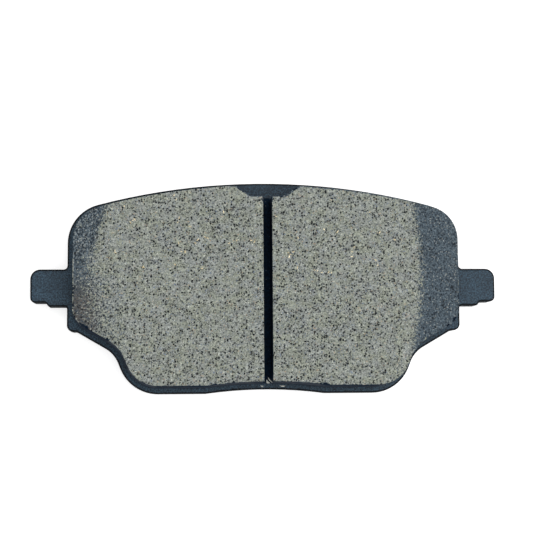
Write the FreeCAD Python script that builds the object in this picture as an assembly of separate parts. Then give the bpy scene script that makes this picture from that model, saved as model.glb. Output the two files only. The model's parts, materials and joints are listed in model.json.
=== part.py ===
"""Disc brake pad for the rear caliper of a car.

A fine-blanked steel backing plate carries a moulded friction block on its front, through a
bond film and a softer underlayer, and a layered noise shim is glued to its back.

Frame, in millimetres: the pad lies on its shim with the friction face up (+Z), +Y points
away from the wheel's axis and +X runs along the pad. The origin is midway along the pad's
length and height, on the shim's outer face.
"""

import FreeCAD, Part

import math
import os

# ---------------------------------------------------------------- driving dimensions
# Brake disc that the pad is shaped round
DISC_RADIUS = 150.0  # the pad's outer edge and its bottom arch are concentric with the disc

# Body outline, shared by the plate, the friction block and the shim
BODY_HEIGHT = 48.5  # from the top of the outer edge to the bottom flats
BODY_WIDTH = 90.5  # over the sides, at mid height
SIDE_LEAN = 0.5  # degrees that each side leans, so that the body widens downwards
SHOULDER_RADIUS = 9.25  # between the outer edge and each side
SLOPE_ANGLE = 30.3  # degrees below horizontal, of the run from each foot
LEG_INSET = 14.3  # from each side to where its steep run would reach the bottom flats
LEG_ANGLE = 69.0  # degrees below horizontal
CROOK_RADIUS = 6.75  # inside corner between the slope and the steep run
HEEL_RADIUS = 9.25  # corner between the steep run and the bottom flat
ARCH_WIDTH = 27.7  # opening of the shallow arch in the bottom edge

# Backing plate
PLATE_THICKNESS = 5.5
PLATE_FRONT_ROUND = 0.5  # edge rolled over by the blanking die, on the friction side
PLATE_BACK_BREAK = 0.3  # deburred edge on the back

# Guide ears that slide in the caliper bracket
EAR_LENGTH = 8.4  # from the side at mid height to the ear's end
EAR_TOP = 4.4  # height of the ears' upper edge above mid height
EAR_HEIGHT = 7.65  # the width of the bracket's slot, less its running clearance
EAR_STEP = 0.9  # the ear is this much deeper beside the body
EAR_LAND = 3.5  # length of the ear's lower bearing edge, from its end
EAR_STEP_RUN = 0.7  # length of the slanted step
EAR_TOP_CORNER = 2.25
EAR_LOW_CORNER = 1.2
EAR_ROOT_RADIUS = 0.9
EAR_STEP_RADIUS = 0.55
EAR_HEEL_RADIUS = 0.6  # inside corner under the ear

# Foot under each ear, where the side is carried down past the slope
FOOT_DEPTH = 5.75  # below the ear's deeper end
FOOT_WIDTH = 2.15  # flat under the foot, from the side to the slope
FOOT_CORNER = 1.5
FOOT_KINK_RADIUS = 0.8

# Moulding holes, which key the underlayer to the plate
KEY_HOLE_DIAMETER = 10.0
KEY_HOLE_SPACING = 46.0
KEY_HOLE_HEIGHT = 1.5  # above mid height
KEY_HOLE_FLARE = 0.8  # chamfer on the back, which locks the moulded plug
PLUG_SHRINK = 0.05  # the moulded plugs draw in by this much all round
PLUG_SHORT = 0.3  # the plugs stop this far inside the plate's back

# Half-sheared pips that locate the shim
PIP_DIAMETER = 5.0
PIP_SPACING = 66.0
PIP_HEIGHT = 0.7
PIP_Y = 9.0  # above mid height
PIP_DIMPLE_DIAMETER = 5.2
PIP_DIMPLE_DEPTH = 1.0

# Layers between the plate and the friction block
FILM_THICKNESS = 0.1
UNDERLAYER_THICKNESS = 2.0

# Friction block
BLOCK_THICKNESS = 8.8
BLOCK_MARGIN = 1.3  # plate left showing round the block's foot
BLOCK_DRAFT = 3.0  # degrees, so that the block leaves its mould
BLOCK_SIDE_CORNER = 6.5  # outline radius between a side and its slope
SLOT_WIDTH = 2.0
SLOT_DEPTH = 6.6
NOTCH_WIDTH = 16.4  # where it cuts the block's outer edge
NOTCH_FLOOR_WIDTH = 7.6
NOTCH_DEPTH = 4.3  # from the plate's outer edge to the notch's flat
NOTCH_OFFSET = -0.1  # from the slot's middle to the notch's, positive to the right
NOTCH_CORNER = 1.2
RIGHT_CHAMFER_REACH = 11.25  # from the plate's side to the chamfer's inner edge, at mid height
RIGHT_CHAMFER_ANGLE = 16.0
LEFT_CHAMFER_REACH = 5.0
LEFT_CHAMFER_ANGLE = 12.0
LEFT_CHAMFER_SKEW = 20.0  # degrees; the chamfer is wider towards the outer edge

# Noise shim, from the plate outwards
SHIM_MARGIN = 2.2  # plate left showing round the shim
SHIM_ADHESIVE = 0.1
SHIM_INNER_RUBBER = 0.15
SHIM_STEEL = 0.5
SHIM_OUTER_RUBBER = 0.15
SHIM_HOLE_CLEARANCE = 0.4  # round each pip

# ---------------------------------------------------------------- derived places
SHIM_TOTAL = SHIM_OUTER_RUBBER + SHIM_STEEL + SHIM_INNER_RUBBER + SHIM_ADHESIVE
PLATE_BACK = SHIM_TOTAL
PLATE_FRONT = PLATE_BACK + PLATE_THICKNESS
FILM_FRONT = PLATE_FRONT + FILM_THICKNESS
UNDERLAYER_FRONT = FILM_FRONT + UNDERLAYER_THICKNESS
FRICTION_FACE = UNDERLAYER_FRONT + BLOCK_THICKNESS

OUTER_EDGE = BODY_HEIGHT / 2
BOTTOM = -BODY_HEIGHT / 2
DISC_CENTRE = FreeCAD.Vector(0, OUTER_EDGE - DISC_RADIUS, 0)

EAR_END = BODY_WIDTH / 2 + EAR_LENGTH
EAR_LOW = EAR_TOP - EAR_HEIGHT
EAR_ROOT_LOW = EAR_LOW - EAR_STEP
FOOT_LOW = EAR_ROOT_LOW - FOOT_DEPTH

CLEAR = 1.0  # how far a cutting tool reaches past the face that it cuts through
SHARE_OF_RUN = 0.95  # most of a straight run that the rounding of its two corners may use


# ---------------------------------------------------------------- plane geometry
def point(x, y, z=0.0):
    return FreeCAD.Vector(x, y, z)


def heading(degrees):
    """Unit vector in the XY plane."""
    return point(math.cos(math.radians(degrees)), math.sin(math.radians(degrees)))


def inward(direction):
    """Towards the body's middle, for a run that goes clockwise round it."""
    return point(direction.y, -direction.x)


def inset_run(start, direction, inset):
    """A straight run of the outline, as a point and a direction, moved into the body."""
    return start + inward(direction) * inset, direction


def crossing(first, second):
    """Where two straight runs meet."""
    (a, u), (b, v) = first, second
    turn = u.x * v.y - u.y * v.x
    gap = b - a
    return a + u * ((gap.x * v.y - gap.y * v.x) / turn)


def at_height(run, y):
    """The point of a straight run at a height."""
    start, direction = run
    return start + direction * ((y - start.y) / direction.y)


def mirrored(points):
    return [point(-p.x, p.y, p.z) for p in points]


def curve(points):
    """A straight edge through two points, or an arc through three."""
    if len(points) == 2:
        return Part.LineSegment(*points).toShape()
    return Part.Arc(*points).toShape()


def rounded_chain(corners):
    """Runs and arcs of an open chain, from (point, radius) pairs.

    A run that is too short for the rounding of both its corners eases both of them.
    """
    reach = [0.0] * len(corners)
    half = [0.0] * len(corners)
    for i in range(1, len(corners) - 1):
        back = corners[i - 1][0] - corners[i][0]
        ahead = corners[i + 1][0] - corners[i][0]
        half[i] = back.getAngle(ahead) / 2
        reach[i] = corners[i][1] / math.tan(half[i])
    ease = [1.0] * len(corners)
    for i in range(len(corners) - 1):
        room = SHARE_OF_RUN * (corners[i + 1][0] - corners[i][0]).Length
        used = reach[i] + reach[i + 1]
        if used > room:
            ease[i] = min(ease[i], room / used)
            ease[i + 1] = min(ease[i + 1], room / used)
    parts = []
    last = corners[0][0]
    for i in range(1, len(corners) - 1):
        corner = corners[i][0]
        back = (corners[i - 1][0] - corner).normalize()
        ahead = (corners[i + 1][0] - corner).normalize()
        step = reach[i] * ease[i]
        radius = corners[i][1] * ease[i]
        bisector = (back + ahead).normalize()
        middle = corner + bisector * (radius / math.sin(half[i]) - radius)
        parts.append([last, corner + back * step])
        parts.append([corner + back * step, middle, corner + ahead * step])
        last = corner + ahead * step
    parts.append([last, corners[-1][0]])
    return parts


def shoulder(side, inset):
    """The arc between the outer edge and a side: its start, middle and end."""
    radius = SHOULDER_RADIUS - inset
    edge_radius = DISC_RADIUS - inset
    start, direction = inset_run(*side, radius)
    offset = start - DISC_CENTRE
    along = offset.dot(direction)
    spare = (edge_radius - radius) ** 2 - offset.dot(offset) + along**2
    centre = start + direction * (-along - math.sqrt(spare))
    outward = (centre - DISC_CENTRE).normalize()
    sideways = inward(direction) * -1
    middle = (outward + sideways).normalize()
    return [centre + outward * radius, centre + middle * radius, centre + sideways * radius]


def body_runs(inset):
    """The straight runs of the right half: side, slope, steep leg and bottom flat."""
    side_middle = point(BODY_WIDTH / 2, 0)
    side_way = heading(SIDE_LEAN - 90)
    slope_top = at_height((side_middle, side_way), FOOT_LOW) - point(FOOT_WIDTH, 0)
    leg_foot = point(BODY_WIDTH / 2 - LEG_INSET, BOTTOM)
    return (
        inset_run(side_middle, side_way, inset),
        inset_run(slope_top, heading(180 + SLOPE_ANGLE), inset),
        inset_run(leg_foot, heading(180 + LEG_ANGLE), inset),
        inset_run(point(0, BOTTOM), heading(180), inset),
    )


def closed_outline(shoulder_arc, chain, inset):
    """Wire from the right half's shoulder and chain, their mirror image and two arcs."""
    arch_end = chain[-1][-1]
    arch_rise = (arch_end - DISC_CENTRE).Length
    half = [shoulder_arc] + chain
    top = point(0, OUTER_EDGE - inset)
    pieces = [[mirrored(shoulder_arc)[0], top, shoulder_arc[0]]] + half
    pieces.append([arch_end, DISC_CENTRE + point(0, arch_rise), mirrored([arch_end])[0]])
    pieces += [mirrored(piece)[::-1] for piece in half[::-1]]
    return Part.Wire([curve(piece) for piece in pieces])


def arch_corner(flat):
    """The end of the bottom flat, at the arch."""
    return point(ARCH_WIDTH / 2, flat[0].y)


def body_outline(inset=0.0):
    """Body outline without ears or feet, moved in by a margin."""
    side, slope, leg, flat = body_runs(inset)
    arc = shoulder(side, inset)
    corners = [
        (arc[-1], 0.0),
        (crossing(side, slope), BLOCK_SIDE_CORNER - inset),
        (crossing(slope, leg), CROOK_RADIUS + inset),
        (crossing(leg, flat), HEEL_RADIUS - inset),
        (arch_corner(flat), 0.0),
    ]
    return closed_outline(arc, rounded_chain(corners), inset)


def plate_outline():
    """Body outline with the guide ears and the feet under them."""
    side, slope, leg, flat = body_runs(0.0)
    arc = shoulder(side, 0.0)
    step_start = EAR_END - EAR_LAND
    corners = [
        (arc[-1], 0.0),
        (at_height(side, EAR_TOP), EAR_ROOT_RADIUS),
        (point(EAR_END, EAR_TOP), EAR_TOP_CORNER),
        (point(EAR_END, EAR_LOW), EAR_LOW_CORNER),
        (point(step_start, EAR_LOW), EAR_STEP_RADIUS),
        (point(step_start - EAR_STEP_RUN, EAR_ROOT_LOW), EAR_STEP_RADIUS),
        (at_height(side, EAR_ROOT_LOW), EAR_HEEL_RADIUS),
        (at_height(side, FOOT_LOW), FOOT_CORNER),
        (at_height(slope, FOOT_LOW), FOOT_KINK_RADIUS),
        (crossing(slope, leg), CROOK_RADIUS),
        (crossing(leg, flat), HEEL_RADIUS),
        (arch_corner(flat), 0.0),
    ]
    return closed_outline(arc, rounded_chain(corners), 0.0)


# ---------------------------------------------------------------- solids
def slab(outline, low, high):
    """Straight-sided solid over an outline, between two heights."""
    face = Part.Face(outline)
    face.translate(point(0, 0, low))
    return face.extrude(point(0, 0, high - low))


def drafted_block(low, high, margin):
    """Solid whose walls draw in as they rise from its foot."""
    foot = body_outline(margin)
    foot.translate(point(0, 0, low))
    top = body_outline(margin + (high - low) * math.tan(math.radians(BLOCK_DRAFT)))
    top.translate(point(0, 0, high))
    return Part.makeLoft([foot, top], True, True)


def posts(diameter, low, high, spacing, y):
    """Two upright cylinders, one each side of the middle."""
    found = []
    for x in (-spacing / 2, spacing / 2):
        found.append(Part.makeCylinder(diameter / 2, high - low, point(x, y, low)))
    return found


def key_holes(shrink=0.0, low=PLATE_BACK, high=PLATE_FRONT):
    """The space of the two moulding holes, with the flare at their back."""
    radius = KEY_HOLE_DIAMETER / 2
    flare_top = PLATE_BACK + KEY_HOLE_FLARE
    found = []
    for x in (-KEY_HOLE_SPACING / 2, KEY_HOLE_SPACING / 2):
        base = point(x, KEY_HOLE_HEIGHT, low)
        bore = Part.makeCylinder(radius - shrink, high - low, base)
        wide = radius + flare_top - low - shrink
        flare = Part.makeCone(wide, radius - shrink, flare_top - low, base)
        found.append(bore.fuse(flare).removeSplitter())
    return found


def rim_edges(solid, height):
    """The edges of a solid that lie flat at a height."""
    found = []
    for edge in solid.Edges:
        box = edge.BoundBox
        if abs(box.ZMin - height) < 1e-6 and abs(box.ZMax - height) < 1e-6:
            found.append(edge)
    return found


def backing_plate():
    blank = slab(plate_outline(), PLATE_BACK, PLATE_FRONT)
    blank = blank.makeFillet(PLATE_FRONT_ROUND, rim_edges(blank, PLATE_FRONT))
    blank = blank.makeChamfer(PLATE_BACK_BREAK, rim_edges(blank, PLATE_BACK))
    pips = posts(PIP_DIAMETER, PLATE_BACK - PIP_HEIGHT, PLATE_BACK + CLEAR, PIP_SPACING, PIP_Y)
    dimple_floor = PLATE_FRONT - PIP_DIMPLE_DEPTH
    dimples = posts(PIP_DIMPLE_DIAMETER, dimple_floor, PLATE_FRONT + CLEAR, PIP_SPACING, PIP_Y)
    holes = key_holes()
    return blank.fuse(pips).removeSplitter().cut(dimples + holes)


def bond_film():
    film = slab(body_outline(BLOCK_MARGIN), PLATE_FRONT, FILM_FRONT)
    holes = posts(
        KEY_HOLE_DIAMETER, PLATE_FRONT, FILM_FRONT, KEY_HOLE_SPACING, KEY_HOLE_HEIGHT
    )
    dimples = posts(PIP_DIMPLE_DIAMETER, PLATE_FRONT, FILM_FRONT, PIP_SPACING, PIP_Y)
    return film.cut(holes + dimples + [notch()])


def notch():
    """The recess in the block's outer edge, down to the plate."""
    floor = OUTER_EDGE - NOTCH_DEPTH
    mouth = OUTER_EDGE - BLOCK_MARGIN
    slant = (NOTCH_WIDTH - NOTCH_FLOOR_WIDTH) / 2 / (mouth - floor)
    top = OUTER_EDGE + CLEAR
    reach = NOTCH_FLOOR_WIDTH / 2 + slant * (top - floor)
    middle = NOTCH_OFFSET
    corners = [
        (point(middle - reach, top), 0.0),
        (point(middle - NOTCH_FLOOR_WIDTH / 2, floor), NOTCH_CORNER),
        (point(middle + NOTCH_FLOOR_WIDTH / 2, floor), NOTCH_CORNER),
        (point(middle + reach, top), 0.0),
    ]
    pieces = rounded_chain(corners)
    pieces.append([corners[-1][0], corners[0][0]])
    outline = Part.Wire([curve(piece) for piece in pieces])
    return slab(outline, PLATE_FRONT - CLEAR, FRICTION_FACE + CLEAR)


def underlayer():
    layer = drafted_block(FILM_FRONT, UNDERLAYER_FRONT, BLOCK_MARGIN).cut(notch())
    plugs = key_holes(PLUG_SHRINK, PLATE_BACK + PLUG_SHORT, FILM_FRONT)
    dimple_floor = PLATE_FRONT - PIP_DIMPLE_DEPTH + PLUG_SHRINK
    dimple_fill = PIP_DIMPLE_DIAMETER - 2 * PLUG_SHRINK
    studs = posts(dimple_fill, dimple_floor, FILM_FRONT, PIP_SPACING, PIP_Y)
    return layer.fuse(plugs + studs).removeSplitter()


def end_chamfer(side, reach, angle, skew):
    """The wedge that is ground off one end; side is 1 for the right end, -1 for the left."""
    size = 2 * EAR_END
    wedge = Part.makeBox(size, 2 * size, size, point(0, -size, 0))
    wedge.rotate(point(0, 0, 0), point(0, 1, 0), angle)
    wedge.rotate(point(0, 0, 0), point(0, 0, 1), skew)
    if side < 0:
        wedge = wedge.mirror(point(0, 0, 0), point(1, 0, 0))
    wedge.translate(point(side * (BODY_WIDTH / 2 - reach), 0, FRICTION_FACE))
    return wedge


def friction_block():
    draw_in = UNDERLAYER_THICKNESS * math.tan(math.radians(BLOCK_DRAFT))
    block = drafted_block(UNDERLAYER_FRONT, FRICTION_FACE, BLOCK_MARGIN + draw_in)
    slot = Part.makeBox(
        SLOT_WIDTH,
        BODY_HEIGHT,
        SLOT_DEPTH + CLEAR,
        point(-SLOT_WIDTH / 2, BOTTOM, FRICTION_FACE - SLOT_DEPTH),
    )
    right = end_chamfer(1, RIGHT_CHAMFER_REACH, RIGHT_CHAMFER_ANGLE, 0.0)
    left = end_chamfer(-1, LEFT_CHAMFER_REACH, LEFT_CHAMFER_ANGLE, LEFT_CHAMFER_SKEW)
    return block.cut([notch(), slot, right, left])


def shim_layer(low, thickness):
    layer = slab(body_outline(SHIM_MARGIN), low, low + thickness)
    hole_diameter = PIP_DIAMETER + 2 * SHIM_HOLE_CLEARANCE
    return layer.cut(posts(hole_diameter, low, low + thickness, PIP_SPACING, PIP_Y))


def shim_layers():
    """The shim's layers, from its outer face up to the plate."""
    layers = (
        ("shim_outer_rubber", SHIM_OUTER_RUBBER),
        ("shim_steel", SHIM_STEEL),
        ("shim_inner_rubber", SHIM_INNER_RUBBER),
        ("shim_adhesive", SHIM_ADHESIVE),
    )
    height = 0.0
    found = {}
    for name, thickness in layers:
        found[name] = shim_layer(height, thickness)
        height += thickness
    return found


def main():
    nodes = {
        "backing_plate": backing_plate(),
        "bond_film": bond_film(),
        "underlayer": underlayer(),
        "friction_block": friction_block(),
    }
    nodes.update(shim_layers())
    os.makedirs("parts", exist_ok=True)
    for name, shape in nodes.items():
        shape.exportStep(f"parts/{name}.step")
        box = shape.BoundBox
        print(
            f"{name}: {len(shape.Solids)} solid, {shape.Volume:.1f} mm3, valid {shape.isValid()},"
            f" {box.XLength:.2f} x {box.YLength:.2f} x {box.ZMin:.2f}..{box.ZMax:.2f}"
        )


main()
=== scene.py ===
"""Looks of a disc brake pad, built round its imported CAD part.

The pad lies on its noise shim with the friction face up. The friction block, its brass
slivers, the loose fibres at the slot's mouth and the mould's flash are modelled here; the
backing plate, the bond film, the underlayer and the shim's layers keep their CAD shapes and
get their finishes here. Sizes are in millimetres, unless a name says otherwise, and Blender
works in metres.
"""

from __future__ import annotations
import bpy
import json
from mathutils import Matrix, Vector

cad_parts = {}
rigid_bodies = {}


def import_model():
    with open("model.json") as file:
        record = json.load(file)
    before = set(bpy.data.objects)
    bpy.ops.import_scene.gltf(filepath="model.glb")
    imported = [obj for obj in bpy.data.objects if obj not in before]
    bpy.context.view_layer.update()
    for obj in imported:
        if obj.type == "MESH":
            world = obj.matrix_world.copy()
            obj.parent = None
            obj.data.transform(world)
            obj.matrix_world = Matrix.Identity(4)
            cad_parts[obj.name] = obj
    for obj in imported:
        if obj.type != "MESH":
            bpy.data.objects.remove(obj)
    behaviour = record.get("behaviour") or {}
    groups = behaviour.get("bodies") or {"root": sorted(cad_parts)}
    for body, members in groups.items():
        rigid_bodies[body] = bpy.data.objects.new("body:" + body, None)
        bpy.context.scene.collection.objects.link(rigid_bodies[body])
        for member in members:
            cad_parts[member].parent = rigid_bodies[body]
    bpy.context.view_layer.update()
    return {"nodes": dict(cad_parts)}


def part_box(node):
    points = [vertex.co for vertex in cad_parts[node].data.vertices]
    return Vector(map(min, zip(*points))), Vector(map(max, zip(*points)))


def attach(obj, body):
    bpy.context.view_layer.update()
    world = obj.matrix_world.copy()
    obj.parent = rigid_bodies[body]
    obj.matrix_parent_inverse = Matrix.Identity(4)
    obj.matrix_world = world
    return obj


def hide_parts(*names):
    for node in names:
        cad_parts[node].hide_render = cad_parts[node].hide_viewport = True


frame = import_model()

import json
import logging
import math
from contextlib import contextmanager
from dataclasses import dataclass, field
from enum import Enum
from typing import Any, Iterator, Sequence

import bmesh
import bpy
import numpy as np
from mathutils import Matrix, Vector
from mathutils.bvhtree import BVHTree

MM = 0.001
BODY = "root"

log = logging.getLogger("brake_pad")

Array = np.ndarray
Material = bpy.types.Material
Node = bpy.types.Node
Pair = tuple[float, float]
Triple = tuple[float, float, float]
Piece = bpy.types.Object
Socket = bpy.types.NodeSocket
Colour = tuple[float, float, float, float]
Table = tuple[tuple[float, ...], tuple[float, ...]]


def tone(red: int, green: int, blue: int) -> Colour:
    """Turn a display colour into the linear colour that a shader mixes.

    Args:
        red, green, blue: Display levels, 0 to 255.

    Returns:
        Linear red, green, blue and an opaque alpha.
    """
    linear = []
    for level in (red / 255, green / 255, blue / 255):
        linear.append(level / 12.92 if level <= 0.04045 else ((level + 0.055) / 1.055) ** 2.4)
    return (*linear, 1.0)


class Slot(Enum):
    """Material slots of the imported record."""

    COAT = "plate_powder_coat"
    FILM = "bond_film"
    UNDERLAYER = "underlayer"
    COMPOUND = "friction_compound"
    ADHESIVE = "shim_adhesive"
    RUBBER = "shim_rubber"
    STEEL = "shim_steel"


# --- shader graphs
class Graph:
    """A material's node tree, with one short call for each kind of node.

    Its own place, at, is in millimetres along the piece, stretched along each axis if asked.
    """

    def __init__(self, name: str, stretch: Sequence[float] = (1.0, 1.0, 1.0)) -> None:
        """Start an empty tree.

        Args:
            name: Name of the material.
            stretch: Scale of its own place along each axis.
        """
        self.material = bpy.data.materials.new(name)
        self.material.use_nodes = True
        self.tree = self.material.node_tree
        self.tree.nodes.clear()
        self.at = self.place(stretch)

    def node(self, kind: str, inputs: dict[Any, Any], **settings: Any) -> Node:
        """Add a node.

        Args:
            kind: Node type without its ShaderNode prefix.
            inputs: Values or sockets, by input name or number.
            **settings: Properties of the node itself.

        Returns:
            The new node.
        """
        made = self.tree.nodes.new("ShaderNode" + kind)
        for key, value in settings.items():
            setattr(made, key, value)
        for key, value in inputs.items():
            if isinstance(value, Socket):
                self.tree.links.new(value, made.inputs[key])
            else:
                made.inputs[key].default_value = value
        return made

    def place(self, stretch: Sequence[float]) -> Socket:
        """Give object coordinates in millimetres, stretched along each axis."""
        at = self.node("TexCoord", {}).outputs["Object"]
        scale = tuple(s / MM for s in stretch)
        return self.node("Mapping", {"Vector": at, "Scale": scale}).outputs["Vector"]

    def noise(
        self, per_mm: float, detail: float = 2.0, rough: float = 0.5, at: Any = None
    ) -> Socket:
        """Give smooth noise from 0 to 1, of so many swells in a millimetre."""
        inputs = {"Scale": per_mm, "Detail": detail, "Roughness": rough}
        inputs["Vector"] = self.at if at is None else at
        return self.node("TexNoise", inputs).outputs["Fac"]

    def cells(self, per_mm: float, at: Any = None) -> Node:
        """Add grains: Distance from each grain's middle and a random Color for it."""
        return self.node("TexVoronoi", {"Vector": self.at if at is None else at, "Scale": per_mm})

    def chance(self, grain: Node, channel: int = 0) -> Socket:
        """Give one of the three random numbers, from 0 to 1, of each grain."""
        return self.node("SeparateColor", {0: grain.outputs["Color"]}).outputs[channel]

    def spots(self, grain: Node, rare: Pair, size: Pair) -> Socket:
        """Show grains whose random number is past the rare range as discs of a size range."""
        disc = self.span(grain.outputs["Distance"], *size)
        return self.maths("MULTIPLY", self.span(self.chance(grain), *rare), disc)

    def maths(self, work: str, *values: Any) -> Socket:
        """Give the result of one sum on values or sockets."""
        made = self.node("Math", dict(enumerate(values)), operation=work)
        return made.outputs[0]

    def span(self, value: Socket, low: float, high: float, to: Pair = (0, 1)) -> Socket:
        """Ease a value from one range to another.

        Args:
            value: What is mapped.
            low: Where the result starts to change.
            high: Where it has changed.
            to: The result before and after.

        Returns:
            The eased value.
        """
        inputs = {"Value": value, "From Min": low, "From Max": high}
        inputs.update({"To Min": to[0], "To Max": to[1]})
        made = self.node("MapRange", inputs, interpolation_type="SMOOTHSTEP")
        return made.outputs["Result"]

    def mix(self, share: Any, first: Any, second: Any, blend: str = "MIX") -> Socket:
        """Mix two colours.

        Args:
            share: How much of the second shows.
            first: Colour below.
            second: Colour above.
            blend: Way of blending.

        Returns:
            The mixed colour.
        """
        made = self.node("Mix", {0: share, 6: first, 7: second}, data_type="RGBA")
        made.blend_type = blend
        return made.outputs[2]

    def shade(self, colour: Any, by: Any, blue: Any = None) -> Socket:
        """Multiply a colour by a factor, and its blue by another where that is given."""
        tint = self.node("CombineColor", {0: by, 1: by, 2: by if blue is None else blue})
        return self.mix(1.0, colour, tint.outputs[0], "MULTIPLY")

    def ramp(
        self, value: Any, stops: Sequence[tuple[float, Colour]], hard: bool = False
    ) -> Node:
        """Add a colour ramp.

        Args:
            value: Place on the ramp, 0 to 1.
            stops: Places and colours.
            hard: Whether the colours change at once.

        Returns:
            The ramp node, with Color and Alpha.
        """
        made = self.node("ValToRGB", {"Fac": value})
        band = made.color_ramp
        band.interpolation = "CONSTANT" if hard else "LINEAR"
        for index, (at, colour) in enumerate(stops):
            stop = band.elements[index] if index < 2 else band.elements.new(at)
            stop.position = at
            stop.color = colour
        return made

    def value(self, name: str) -> Socket:
        """Give a mesh attribute's value."""
        return self.node("Attribute", {}, attribute_name=name).outputs["Fac"]

    def bump(self, height: Any, depth: float) -> Socket:
        """Give a normal roughened by a height from 0 to 1 of this depth in millimetres."""
        inputs = {"Height": height, "Distance": depth * MM, "Strength": 1.0}
        return self.node("Bump", inputs).outputs["Normal"]

    def surface(self, **inputs: Any) -> Material:
        """Finish the tree with a principled shader.

        Args:
            **inputs: Shader inputs, with underscores for spaces.

        Returns:
            The finished material.
        """
        named = {key.replace("_", " "): value for key, value in inputs.items()}
        shader = self.node("BsdfPrincipled", named)
        self.node("OutputMaterial", {"Surface": shader.outputs[0]})
        return self.material


# --- finishes
CLEAR: Colour = (0.0, 0.0, 0.0, 0.0)


@dataclass(frozen=True)
class Grains:
    """One layer of grains in the compound.

    Its kinds are random numbers with the colour of the grains from there on, and CLEAR stands
    for a grain that lets what is below show. The darkest grain is this share of its colour.
    """

    per_mm: float
    reach: float
    darkest: float
    kinds: tuple[tuple[float, Colour], ...]


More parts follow.
